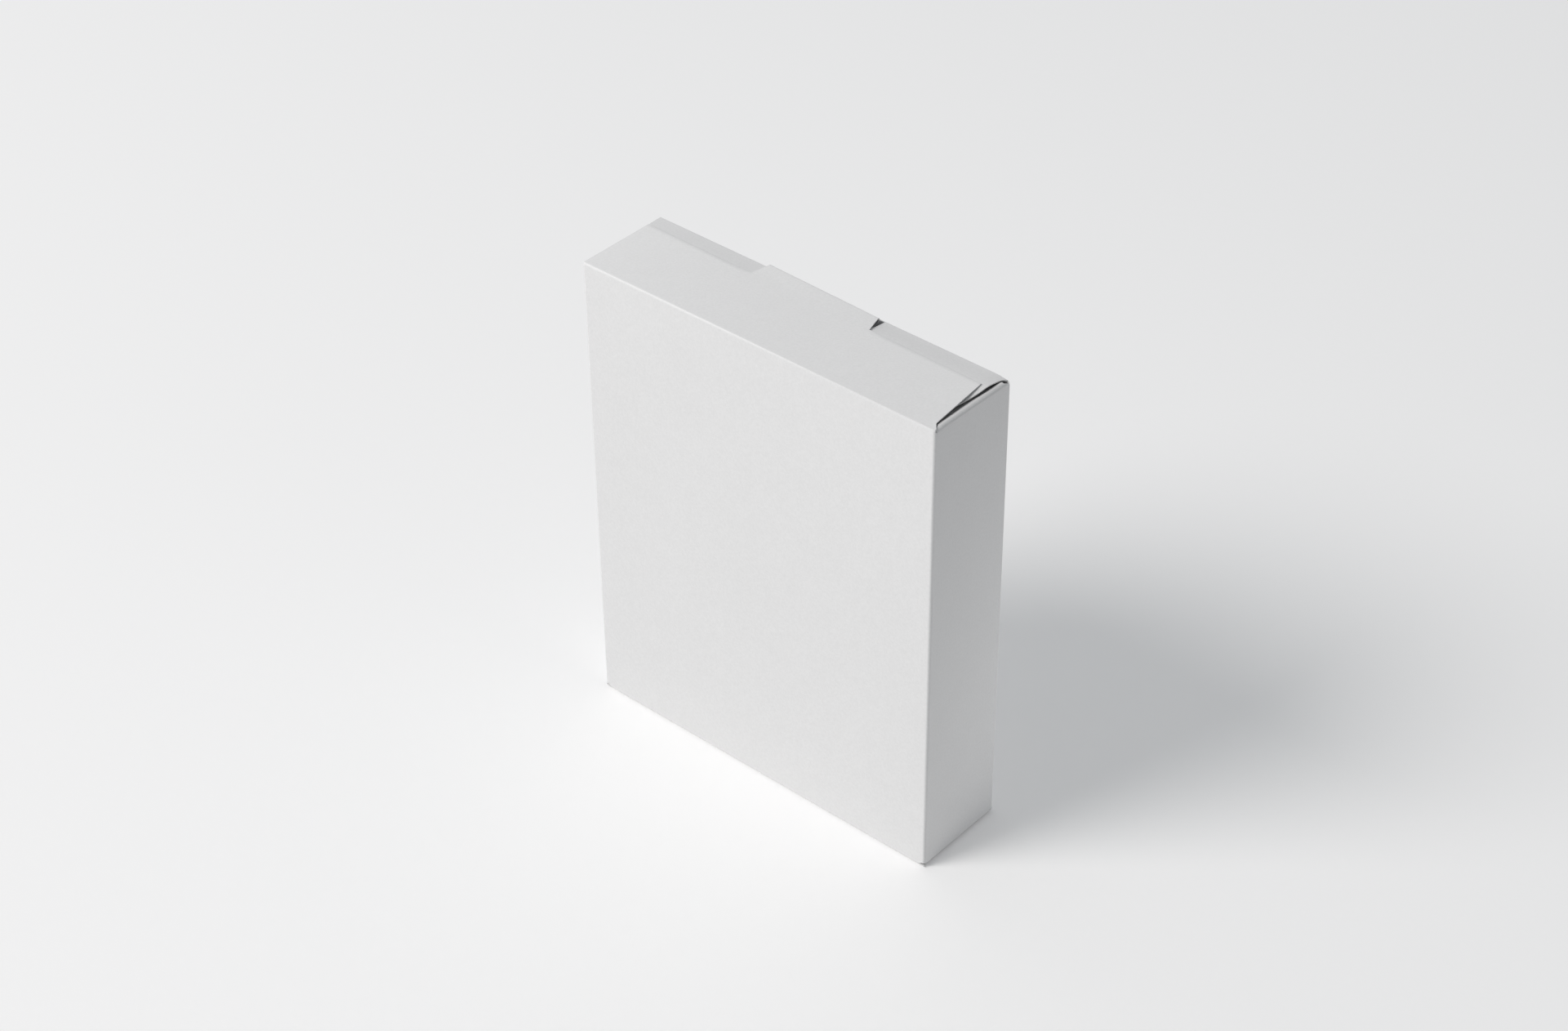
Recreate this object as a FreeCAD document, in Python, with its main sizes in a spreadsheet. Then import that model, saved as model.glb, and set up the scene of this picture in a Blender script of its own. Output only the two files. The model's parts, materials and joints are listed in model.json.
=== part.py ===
import FreeCAD, Part
import os
import re
import Sketcher

# Folding carton of white paperboard, standing upright and closed, in millimetres.
# The origin is the centre of the base, +Z is up, the wide front face looks along -Y
# and the lid's tongue locks into a slit along the rear top edge.

Vector = FreeCAD.Vector

SIZES = {
    # outside of the closed carton
    "carton_width": 200.0,
    "carton_depth": 51.0,
    "carton_height": 245.0,
    # board, and the room between stacked flaps
    "board": 0.5,
    "layer_gap": 0.2,
    "crest_gap": 0.3,
    "glue_film": 0.1,
    # outer radii of the folds, and how deep their neutral line lies under the outer face
    "crease_radius": 1.2,
    "rear_crease_radius": 0.7,
    "corner_radius": 1.3,
    "side_crease_radius": 1.5,
    "hinge_depth": 0.15,
    # lid: it rises to the rear, and its free edge, ends and relieved right side stand back
    "lid_tilt": 2.5,
    "lid_setback": 11.5,
    "flap_end_gap": 0.4,
    "lid_left_inset": 1.8,
    "shoulder_inset": 3.3,
    "shoulder_length": 4.4,
    "lid_inset": 5.8,
    # tongue: a neck that bends up off the lid, a fold and the tuck that hangs in the slit
    "tongue_offset": -1.6,
    "tongue_base_width": 68.5,
    "tongue_width": 63.4,
    "tongue_setback": 1.0,
    "tongue_radius": 1.0,
    "neck_bend": 60.0,
    "neck_angle": 2.0,
    "tuck_lean": 10.0,
    "tuck_length": 9.0,
    "tuck_taper": 3.0,
    "tuck_round": 4.0,
    # rear flap: it rises from its fold to a ridge under the lid's free edge, then falls away
    "rear_drop": 0.13,
    "rear_slope": 5.5,
    "rear_strip": 10.6,
    "ridge_bend": 12.0,
    "ridge_angle": 12.5,
    "rear_flap_length": 34.0,
    "rear_flap_inset": 6.1,
    "rear_flap_root_inset": 2.9,
    "rear_flap_relief": 2.6,
    "rear_flap_corner": 1.5,
    "rear_flap_round": 5.0,
    # slit along the rear fold: wider than the tongue, with ears that run beside its neck
    "slit_shift": 0.3,
    "slit_play": 3.8,
    "slit_depth": 2.7,
    "slit_overlap": 2.5,
    "slit_lip_drop": 0.4,
    "ear_length": 13.0,
    "ear_taper": 0.3,
    # dust flaps at the two narrow sides, which lean into the carton, less so at the base
    "dust_flap_length": 24.0,
    "dust_end_gap": 0.8,
    "dust_front_taper": 18.0,
    "dust_rear_taper": 40.0,
    "dust_slope": 22.0,
    "bottom_dust_slope": 10.0,
    "dust_round": 4.0,
    # glued bottom
    "bottom_flap_setback": 1.4,
    "bottom_pad_width": 60.0,
    "bottom_pad_depth": 16.0,
    "bottom_pad_spread": 52.0,
    "bottom_pad_setback": 17.0,
    # glue seam inside the rear left corner
    "seam_width": 14.0,
    "seam_margin": 3.0,
    "seam_taper": 7.0,
    "seam_round": 2.0,
    "seam_edge_gap": 0.2,
    "seam_glue_margin": 1.5,
    "seam_glue_end": 14.0,
}

# places that several pieces share, written in those sizes
HALF_WIDTH = "carton_width / 2"
HALF_DEPTH = "carton_depth / 2"
LAYER = "(board + layer_gap)"
REAR_TOP = "(carton_height - rear_drop)"
LEFT_CREST = f"(carton_height - 2 * {LAYER})"
RIGHT_CREST = "(carton_height - board - crest_gap)"
SIDE_FOOT = "(board + crest_gap)"
DUST_HALF = f"({HALF_DEPTH} - corner_radius - dust_end_gap)"
LID_RUN = "((carton_depth - lid_setback - crease_radius) / cos(lid_tilt))"
NECK_START = f"({LID_RUN} + (neck_bend + tongue_radius) * sin(neck_angle))"
NECK_RISE = "(crease_radius + neck_bend * (1 - cos(neck_angle)) - tongue_radius * cos(neck_angle))"
TONGUE_RUN = "(carton_depth - tongue_setback - tongue_radius - crease_radius)"
NECK_SPAN = f"({TONGUE_RUN} - {NECK_START} * cos(lid_tilt) + {NECK_RISE} * sin(lid_tilt))"
NECK_TAIL = f"({NECK_SPAN} / cos(lid_tilt + neck_angle))"
TONGUE_Y = f"({HALF_DEPTH} - tongue_setback - tongue_radius)"
TONGUE_ALONG = f"({NECK_START} + {NECK_TAIL} * cos(neck_angle))"
TONGUE_ABOVE = f"({NECK_RISE} + {NECK_TAIL} * sin(neck_angle))"
TONGUE_LIFT = f"({TONGUE_ALONG} * sin(lid_tilt) + {TONGUE_ABOVE} * cos(lid_tilt))"
TONGUE_Z = f"(carton_height - crease_radius + {TONGUE_LIFT})"
SLIT_X = "(tongue_offset + slit_shift)"
SLIT_HALF = "((tongue_width + slit_play) / 2)"

doc = FreeCAD.newDocument("folding_carton")
sheet = doc.addObject("Spreadsheet::Sheet", "sizes")
for row, (alias, size) in enumerate(SIZES.items(), 1):
    sheet.set(f"A{row}", alias)
    sheet.set(f"B{row}", str(size))
    sheet.setAlias(f"B{row}", alias)
doc.recompute()

bodies = []


def bound(expression):
    """The expression with each size's name pointing at its cell."""
    return re.sub(r"[a-z]\w*", lambda word: f"sizes.{word[0]}" if word[0] in SIZES else word[0], expression)


def number(expression):
    return float(sheet.evalExpression(bound(expression)))


def bind(target, path, expression):
    target.setExpression(path, bound(expression))


def new_body(label, base, axis=None, angle="0"):
    """An empty body at base, turned about axis by angle."""
    body = doc.addObject("PartDesign::Body", label)
    body.Label = label
    if axis:
        body.Placement = FreeCAD.Placement(Vector(), FreeCAD.Rotation(Vector(*axis), number(angle)))
        bind(body, "Placement.Rotation.Angle", angle)
    for letter, expression in zip("xyz", base):
        bind(body, f"Placement.Base.{letter}", expression)
    bodies.append(body)
    return body


def new_sketch(body, name, plane):
    sketch = body.newObject("Sketcher::SketchObject", f"{body.Label}_{name}")
    support = [feature for feature in body.Origin.OriginFeatures if feature.Role == plane]
    sketch.AttachmentSupport = [(support[0], "")]
    sketch.MapMode = "FlatFace"
    return sketch


def constrain(sketch, kind, *place, size=None):
    """One constraint; a size is an expression that stays bound to it."""
    if size is None:
        sketch.addConstraint(Sketcher.Constraint(kind, *place))
        return
    value = number(size)
    if kind == "Angle":
        value = FreeCAD.Units.Quantity(value, FreeCAD.Units.Angle)
    index = sketch.addConstraint(Sketcher.Constraint(kind, *place, value))
    bind(sketch, f"Constraints[{index}]", size)


def add_loop(sketch, points):
    """A closed outline of straight lines through points given as pairs of expressions."""
    first = sketch.GeometryCount
    count = len(points)
    corners = [Vector(number(x), number(y), 0) for x, y in points]
    for index in range(count):
        sketch.addGeometry(Part.LineSegment(corners[index], corners[(index + 1) % count]))
    for index in range(count):
        constrain(sketch, "Coincident", first + index, 2, first + (index + 1) % count, 1)
    for index, (x, y) in enumerate(points):
        constrain(sketch, "DistanceX", -1, 1, first + index, 1, size=x)
        constrain(sketch, "DistanceY", -1, 1, first + index, 1, size=y)


def add_pad(body, sketch, length, reverse=False):
    pad = body.newObject("PartDesign::Pad", f"{sketch.Name}_pad")
    pad.Profile = sketch
    pad.Reversed = reverse
    bind(pad, "Length", length)
    return pad


def round_corners(body, pad, points, radius):
    """Rounds the edges that run through the thickness of pad at the given outline points."""
    doc.recompute()
    normal = pad.Profile[0].getGlobalPlacement().Rotation.multVec(Vector(0, 0, 1))
    local = body.Placement.Rotation.inverted().multVec(normal)
    to_sketch = pad.Profile[0].Placement.inverse()
    corners = [Vector(number(x), number(y), 0) for x, y in points]
    names = []
    for index, edge in enumerate(pad.Shape.Edges, 1):
        ends = [vertex.Point for vertex in edge.Vertexes]
        if len(ends) != 2 or (ends[1] - ends[0]).cross(local).Length > 1e-6:
            continue
        flat = to_sketch.multVec(ends[0])
        flat.z = 0
        if min((flat - corner).Length for corner in corners) < 1e-6:
            names.append(f"Edge{index}")
    fillet = body.newObject("PartDesign::Fillet", f"{pad.Name}_round")
    fillet.Base = (pad, names)
    bind(fillet, "Radius", radius)


def plate(label, plane, base, points, thickness="board", axis=None, angle="0", reverse=False, rounded=None):
    """A flat piece of board; rounded is a pair of outline corners' numbers and their radius."""
    body = new_body(label, base, axis, angle)
    sketch = new_sketch(body, "outline", plane)
    add_loop(sketch, points)
    pad = add_pad(body, sketch, thickness, reverse)
    if rounded:
        corners, radius = rounded
        round_corners(body, pad, [points[corner] for corner in corners], radius)
    return body


def rectangle(left, right, low, high):
    return [(left, low), (right, low), (right, high), (left, high)]


# sketch plane and turning axis of a fold that runs along each direction
FOLD_RUNS = {
    "X": ("YZ_Plane", (1, 0, 0)),
    "Y": ("XZ_Plane", (0, -1, 0)),
    "Z": ("XY_Plane", (0, 0, 1)),
}


def crease(label, run, centre, start, radius, length, fold="90"):
    """A folded strip of board: a round outside, and inside the bead that a scored fold pushes up.

    centre is the middle of the round outside, which turns by fold from the angle start.
    The bead is round about the line that the fold hinges on.
    """
    plane, axis = FOLD_RUNS[run]
    body = new_body(label, centre, axis, start)
    sketch = new_sketch(body, "section", plane)
    outer = number(radius)
    inner = number(f"{radius} - board")
    turn = number(fold)
    hinge = number(f"{radius} - hinge_depth")

    def polar(distance, angle):
        return FreeCAD.Rotation(Vector(0, 0, 1), angle).multVec(Vector(distance, 0, 0))

    middle = polar(hinge, turn / 2)
    first = polar(inner, 0) - middle
    last = polar(inner, turn) - middle
    round_outside = Part.Circle(Vector(), Vector(0, 0, 1), outer)
    bead = Part.Circle(middle, Vector(0, 0, 1), first.Length)
    turn_end = FreeCAD.Units.Quantity(f"{turn} deg").getValueAs("rad").Value
    bead_start = Vector(1, 0, 0).getAngle(last)
    bead_end = -Vector(1, 0, 0).getAngle(first)
    sketch.addGeometry(Part.ArcOfCircle(round_outside, 0, turn_end))
    sketch.addGeometry(Part.LineSegment(polar(inner, 0), polar(outer, 0)))
    sketch.addGeometry(Part.LineSegment(polar(inner, turn), polar(outer, turn)))
    sketch.addGeometry(Part.ArcOfCircle(bead, bead_start, bead_end))
    sketch.addGeometry(Part.LineSegment(Vector(), middle), True)
    constrain(sketch, "Coincident", 0, 3, -1, 1)
    constrain(sketch, "Radius", 0, size=radius)
    constrain(sketch, "Coincident", 0, 1, 1, 2)
    constrain(sketch, "PointOnObject", 1, 1, -1)
    constrain(sketch, "PointOnObject", 1, 2, -1)
    constrain(sketch, "Distance", 1, size="board")
    constrain(sketch, "Coincident", 0, 2, 2, 2)
    constrain(sketch, "PointOnObject", -1, 1, 2)
    constrain(sketch, "Angle", 2, size=fold)
    constrain(sketch, "Distance", 2, size="board")
    constrain(sketch, "Coincident", 3, 1, 2, 1)
    constrain(sketch, "Coincident", 3, 2, 1, 1)
    constrain(sketch, "Coincident", 4, 1, -1, 1)
    constrain(sketch, "Coincident", 4, 2, 3, 3)
    constrain(sketch, "Distance", 4, size=f"{radius} - hinge_depth")
    add_pad(body, sketch, length)
    return body


def walls():
    """The four upright panels and the folds between them."""
    flat_left = f"-{HALF_WIDTH} + corner_radius"
    flat_right = f"{HALF_WIDTH} - corner_radius"
    flat_front = f"-{HALF_DEPTH} + corner_radius"
    flat_rear = f"{HALF_DEPTH} - corner_radius"
    seam_rear = f"{HALF_DEPTH} - board - glue_film - crease_radius"
    foot = f"{SIDE_FOOT} + side_crease_radius"
    left_head = f"{LEFT_CREST} - side_crease_radius"
    right_head = f"{RIGHT_CREST} - side_crease_radius"

    plate("front_panel", "XZ_Plane", ("0", f"-{HALF_DEPTH} + board", "0"),
          rectangle(flat_left, flat_right, "crease_radius", "carton_height - crease_radius"))
    back_left = f"-{HALF_WIDTH} + seam_edge_gap"
    back_low = f"{LAYER} + crease_radius"
    back_high = f"{REAR_TOP} - rear_crease_radius"
    lip = f"{REAR_TOP} - slit_lip_drop"
    plate("back_panel", "XZ_Plane", ("0", HALF_DEPTH, "0"), [
        (back_left, back_low),
        (flat_right, back_low),
        (flat_right, back_high),
        (f"{SLIT_X} + {SLIT_HALF}", back_high),
        (f"{SLIT_X} + {SLIT_HALF}", lip),
        (f"{SLIT_X} - {SLIT_HALF}", lip),
        (f"{SLIT_X} - {SLIT_HALF}", back_high),
        (back_left, back_high),
    ])
    plate("left_side_panel", "YZ_Plane", (f"-{HALF_WIDTH}", "0", "0"),
          rectangle(flat_front, seam_rear, foot, left_head))
    plate("right_side_panel", "YZ_Plane", (f"{HALF_WIDTH} - board", "0", "0"),
          rectangle(flat_front, flat_rear, foot, right_head))

    corners = (
        ("front_left_corner_crease", flat_left, flat_front, "180", left_head),
        ("front_right_corner_crease", flat_right, flat_front, "270", right_head),
        ("rear_right_corner_crease", flat_right, flat_rear, "0", right_head),
    )
    for label, x, y, start, head in corners:
        crease(label, "Z", (x, y, foot), start, "corner_radius", f"{head} - ({foot})")
    crease("seam_crease", "Z", (f"-{HALF_WIDTH} + crease_radius", seam_rear, foot), "90",
           "crease_radius", f"{left_head} - ({foot})")


def seam():
    """The flap folded off the left panel and glued inside the back panel."""
    root = f"-{HALF_WIDTH} + crease_radius"
    edge = f"-{HALF_WIDTH} + crease_radius + seam_width"
    low = f"{SIDE_FOOT} + side_crease_radius + seam_margin"
    high = f"{LEFT_CREST} - side_crease_radius - seam_margin"
    plate("seam_flap", "XZ_Plane", ("0", f"{HALF_DEPTH} - board - glue_film", "0"),
          [(root, low), (edge, f"{low} + seam_taper"), (edge, f"{high} - seam_taper"), (root, high)],
          rounded=((1, 2), "seam_round"))
    plate("seam_glue", "XZ_Plane", ("0", f"{HALF_DEPTH} - board", "0"),
          rectangle(f"{root} + seam_glue_margin", f"{edge} - seam_glue_margin",
                    f"{low} + seam_glue_end", f"{high} - seam_glue_end"),
          thickness="glue_film")


def dust_flap(label, side, end, crest):
    """A sloping flap and its fold on a narrow side; side is left or right, end is top or bottom."""
    out = "-" if side == "left" else ""
    up = "+" if end == "bottom" else "-"
    sag = "bottom_dust_slope" if end == "bottom" else "dust_slope"
    centre_x = f"{out}({HALF_WIDTH} - side_crease_radius)"
    centre_z = f"{crest} {up} side_crease_radius"
    starts = {
        ("right", "top"): "0",
        ("left", "top"): f"90 - {sag}",
        ("left", "bottom"): "180",
        ("right", "bottom"): f"270 - {sag}",
    }
    turns = {
        ("right", "top"): f"180 - {sag}",
        ("left", "top"): sag,
        ("left", "bottom"): f"360 - {sag}",
        ("right", "bottom"): f"180 + {sag}",
    }
    rise = f"{centre_z} {'-' if end == 'bottom' else '+'} side_crease_radius * cos({sag})"
    inward = "+" if side == "left" else "-"
    root_x = f"{centre_x} {inward} side_crease_radius * sin({sag})"
    crease(f"{label}_crease", "Y", (centre_x, DUST_HALF, centre_z), starts[side, end],
           "side_crease_radius", f"2 * {DUST_HALF}", f"90 + {sag}")
    inside_first = (side == "left") == (end == "top")
    points = [
        ("0", f"-{DUST_HALF}"),
        ("dust_flap_length", f"-{DUST_HALF} + dust_flap_length * tan(dust_front_taper)"),
        ("dust_flap_length", f"{DUST_HALF} - dust_flap_length * tan(dust_rear_taper)"),
        ("0", DUST_HALF),
    ]
    plate(label, "XY_Plane", (root_x, "0", rise), points, axis=(0, 1, 0), angle=turns[side, end],
          reverse=inside_first, rounded=((1, 2), "dust_round"))


def bent_sheet(body, side, level, flat, bend, turn, tail, outline):
    """A sheet that leaves its fold flat, bends softly and ends flat, cut to an outline seen from above.

    side is "" where it runs along +Y and bends up, and "-" where it runs along -Y and bends down.
    level is the height of its upper face above the body's own plane.
    """
    section = new_sketch(body, "section", "YZ_Plane")
    sign = number(f"{side}1")
    board = Vector(0, number("board"), 0)
    start = Vector(0, number(level), 0)
    knee = start + Vector(sign * number(flat), 0, 0)
    centre = knee + Vector(0, sign * number(bend), 0)
    about = FreeCAD.Rotation(Vector(0, 0, 1), number(turn))
    knee_end = centre + about.multVec(knee - centre)
    end = knee_end + about.multVec(Vector(sign * number(tail), 0, 0))
    under = about.multVec(board)
    first = Vector(1, 0, 0).getAngle(Vector(0, 1, 0)) * -sign
    last = first + FreeCAD.Units.Quantity(f"{number(turn)} deg").getValueAs("rad").Value
    upper = Part.Circle(centre, Vector(0, 0, 1), (knee - centre).Length)
    lower = Part.Circle(centre, Vector(0, 0, 1), (knee - board - centre).Length)
    section.addGeometry(Part.LineSegment(start, knee))
    section.addGeometry(Part.ArcOfCircle(upper, first, last))
    section.addGeometry(Part.LineSegment(knee_end, end))
    section.addGeometry(Part.LineSegment(end, end - under))
    section.addGeometry(Part.LineSegment(end - under, knee_end - under))
    section.addGeometry(Part.ArcOfCircle(lower, first, last))
    section.addGeometry(Part.LineSegment(knee - board, start - board))
    section.addGeometry(Part.LineSegment(start - board, start))
    joins = (
        ("Coincident", 0, 2, 1, 1),
        ("Tangent", 1, 2, 2, 1),
        ("Coincident", 2, 2, 3, 1),
        ("Coincident", 3, 2, 4, 1),
        ("Tangent", 4, 2, 5, 2),
        ("Coincident", 5, 1, 6, 1),
        ("Coincident", 6, 2, 7, 1),
        ("Coincident", 7, 2, 0, 1),
        ("Coincident", 1, 3, 5, 3),
        ("Horizontal", 0),
        ("Horizontal", 6),
        ("Vertical", 7),
        ("Vertical", 0, 2, 1, 3),
        ("Vertical", 0, 2, 5, 1),
        ("Perpendicular", 2, 3),
        ("Parallel", 2, 4),
        ("PointOnObject", 0, 1, -2),
    )
    for join in joins:
        constrain(section, *join)
    constrain(section, "DistanceY", -1, 1, 0, 1, size=level)
    constrain(section, "Distance", 0, size=flat)
    constrain(section, "Distance", 7, size="board")
    constrain(section, "Radius", 1, size=bend)
    constrain(section, "DistanceX", -1, 1, 1, 2, size=f"{side}({flat} + {bend} * sin({turn}))")
    constrain(section, "Distance", 2, size=tail)
    pad = add_pad(body, section, "carton_width")
    pad.SideType = "Symmetric"

    trim = new_sketch(body, "trim", "XY_Plane")
    beyond = f"{HALF_WIDTH} + board"
    add_loop(trim, rectangle(f"-({beyond})", beyond, "-carton_depth", "carton_depth"))
    add_loop(trim, outline)
    cut = body.newObject("PartDesign::Pocket", f"{body.Label}_trim_cut")
    cut.Profile = trim
    cut.Type = "ThroughAll"
    cut.SideType = "Symmetric"


def rear_flap():
    """The flap under the lid, folded off the back panel on both sides of the slit."""
    right = f"{HALF_WIDTH} - flap_end_gap"
    left = f"-{HALF_WIDTH} + flap_end_gap"
    inset = f"({HALF_WIDTH} - rear_flap_inset)"
    slit_right = f"{SLIT_X} + {SLIT_HALF}"
    slit_left = f"{SLIT_X} - {SLIT_HALF}"
    slit = "(tongue_width / 2 - slit_overlap)"
    ear = f"({SLIT_HALF} - ear_taper)"
    root = "rear_crease_radius / 2"
    free_edge = "rear_crease_radius - rear_flap_length"
    ear_end = "rear_crease_radius - ear_length"
    slit_front = "rear_crease_radius - slit_depth"
    fold_y = f"{HALF_DEPTH} - rear_crease_radius"
    fold_z = f"{REAR_TOP} - rear_crease_radius"
    outline = [
        (right, root),
        (slit_right, root),
        (slit_right, "0"),
        (f"{SLIT_X} + {ear}", ear_end),
        (f"{SLIT_X} + {slit}", slit_front),
        (f"{SLIT_X} - {slit}", slit_front),
        (f"{SLIT_X} - {ear}", ear_end),
        (slit_left, "0"),
        (slit_left, root),
        (left, root),
        (left, "-rear_strip - board"),
        (f"-{inset}", "-rear_strip - board - rear_flap_relief"),
        (f"-{inset}", f"{free_edge} + rear_flap_corner"),
        (f"-{inset} + rear_flap_corner", free_edge),
        (f"{inset} - rear_flap_corner", free_edge),
        (inset, f"{free_edge} + rear_flap_corner"),
        (f"{HALF_WIDTH} - rear_flap_root_inset", "-rear_flap_relief"),
        (right, "0"),
    ]
    body = new_body("rear_flap", ("0", fold_y, fold_z), (1, 0, 0), "360 - rear_slope")
    bent_sheet(body, "-", "rear_crease_radius", "rear_strip", "ridge_bend", "ridge_angle",
               "rear_flap_length - rear_strip", outline)
    for side, start, end in (("left", left, slit_left), ("right", slit_right, right)):
        crease(f"rear_flap_{side}_crease", "X", (start, fold_y, fold_z), "0", "rear_crease_radius",
               f"{end} - ({start})", "90 - rear_slope")


def lid():
    """The outer flap: a lid that rises to the rear, and a neck from its free edge to the tongue."""
    left = f"-{HALF_WIDTH} + flap_end_gap"
    right = f"{HALF_WIDTH} - flap_end_gap"
    fold_y = f"-{HALF_DEPTH} + crease_radius"
    fold_z = "carton_height - crease_radius"
    neck_end = f"{LID_RUN} + neck_bend * sin(neck_angle) + {NECK_TAIL} * cos(neck_angle)"
    outline = [
        (left, "-crease_radius / 2"),
        (right, "-crease_radius / 2"),
        (right, "0"),
        (f"{HALF_WIDTH} - shoulder_inset", "shoulder_length"),
        (f"{HALF_WIDTH} - lid_inset", LID_RUN),
        ("tongue_offset + tongue_base_width / 2", LID_RUN),
        ("tongue_offset + tongue_width / 2", neck_end),
        ("tongue_offset + tongue_width / 2", f"{neck_end} + board"),
        ("tongue_offset - tongue_width / 2", f"{neck_end} + board"),
        ("tongue_offset - tongue_width / 2", neck_end),
        ("tongue_offset - tongue_base_width / 2", LID_RUN),
        (f"-{HALF_WIDTH} + lid_left_inset", LID_RUN),
        (left, "0"),
    ]
    body = new_body("front_flap", ("0", fold_y, fold_z), (1, 0, 0), "lid_tilt")
    bent_sheet(body, "", "crease_radius", LID_RUN, "neck_bend", "neck_angle", NECK_TAIL, outline)
    crease("front_flap_crease", "X", (left, fold_y, fold_z), "90 + lid_tilt", "crease_radius",
           "carton_width - 2 * flap_end_gap", "90 - lid_tilt")


def tongue():
    """The fold at the end of the lid's neck, and the tuck that hangs from it into the slit."""
    left = "tongue_offset - tongue_width / 2"
    right = "tongue_offset + tongue_width / 2"
    crease("tongue_crease", "X", (left, TONGUE_Y, TONGUE_Z), "360 - tuck_lean", "tongue_radius",
           "tongue_width", "90 + lid_tilt + neck_angle + tuck_lean")
    points = [
        (left, "0"),
        (f"{left} + tuck_taper", "-tuck_length"),
        (f"{right} - tuck_taper", "-tuck_length"),
        (right, "0"),
    ]
    root_y = f"{TONGUE_Y} + tongue_radius * cos(tuck_lean)"
    root_z = f"{TONGUE_Z} - tongue_radius * sin(tuck_lean)"
    plate("tongue", "XZ_Plane", ("0", root_y, root_z), points, axis=(1, 0, 0), angle="360 - tuck_lean",
          rounded=((1, 2), "tuck_round"))


def bottom():
    """The glued base: an outer flap off the front, an inner one off the back and the glue between."""
    right = f"{HALF_WIDTH} - flap_end_gap"
    left = f"-{HALF_WIDTH} + flap_end_gap"
    shoulder = f"{HALF_WIDTH} - shoulder_inset"
    waist = f"{HALF_WIDTH} - lid_inset"
    free_edge = "carton_depth - bottom_flap_setback"
    plate("bottom_front_flap", "XY_Plane", ("0", f"-{HALF_DEPTH}", "0"), [
        (left, "crease_radius"),
        (right, "crease_radius"),
        (shoulder, "crease_radius + shoulder_length"),
        (waist, free_edge),
        (f"-({waist})", free_edge),
        (f"-({shoulder})", "crease_radius + shoulder_length"),
    ])
    inset = f"{HALF_WIDTH} - rear_flap_inset"
    relief = "-crease_radius - rear_flap_relief"
    plate("bottom_rear_flap", "XY_Plane", ("0", HALF_DEPTH, LAYER), [
        (left, "-crease_radius"),
        (f"-({inset})", relief),
        (f"-({inset})", "-rear_flap_length"),
        (inset, "-rear_flap_length"),
        (inset, relief),
        (right, "-crease_radius"),
    ], rounded=((2, 3), "rear_flap_round"))
    span = "carton_width - 2 * flap_end_gap"
    front_fold = (left, f"-{HALF_DEPTH} + crease_radius", "crease_radius")
    rear_fold = (left, f"{HALF_DEPTH} - crease_radius", f"{LAYER} + crease_radius")
    crease("bottom_front_flap_crease", "X", front_fold, "180", "crease_radius", span)
    crease("bottom_rear_flap_crease", "X", rear_fold, "270", "crease_radius", span)
    for side, middle in (("left", "-bottom_pad_spread"), ("right", "bottom_pad_spread")):
        plate(f"bottom_{side}_glue", "XY_Plane", (middle, f"{HALF_DEPTH} - bottom_pad_setback", "board"),
              rectangle("-bottom_pad_width / 2", "bottom_pad_width / 2",
                        "-bottom_pad_depth / 2", "bottom_pad_depth / 2"),
              thickness="layer_gap")


def check_and_write():
    """Stops on any failed object, then writes one file for each piece."""
    doc.recompute()
    for item in doc.Objects:
        if {"Invalid", "Error"} & set(item.State):
            raise RuntimeError(f"{item.Label} failed: {item.State}")
    os.makedirs("parts", exist_ok=True)
    for body in bodies:
        shape = body.Shape
        if shape.isNull() or not shape.isValid() or len(shape.Solids) != 1:
            raise RuntimeError(f"{body.Label} is not one valid solid")
        shape.exportStep(f"parts/{body.Label}.step")


walls()
seam()
bottom()
for name in ("left", "right"):
    dust_flap(f"bottom_{name}_dust_flap", name, "bottom", SIDE_FOOT)
dust_flap("left_dust_flap", "left", "top", LEFT_CREST)
dust_flap("right_dust_flap", "right", "top", RIGHT_CREST)
rear_flap()
lid()
tongue()
check_and_write()
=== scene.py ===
"""Looks of a blank white folding carton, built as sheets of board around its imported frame."""

import json
import math

import bmesh
import bpy
from mathutils import Matrix, Vector

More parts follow.
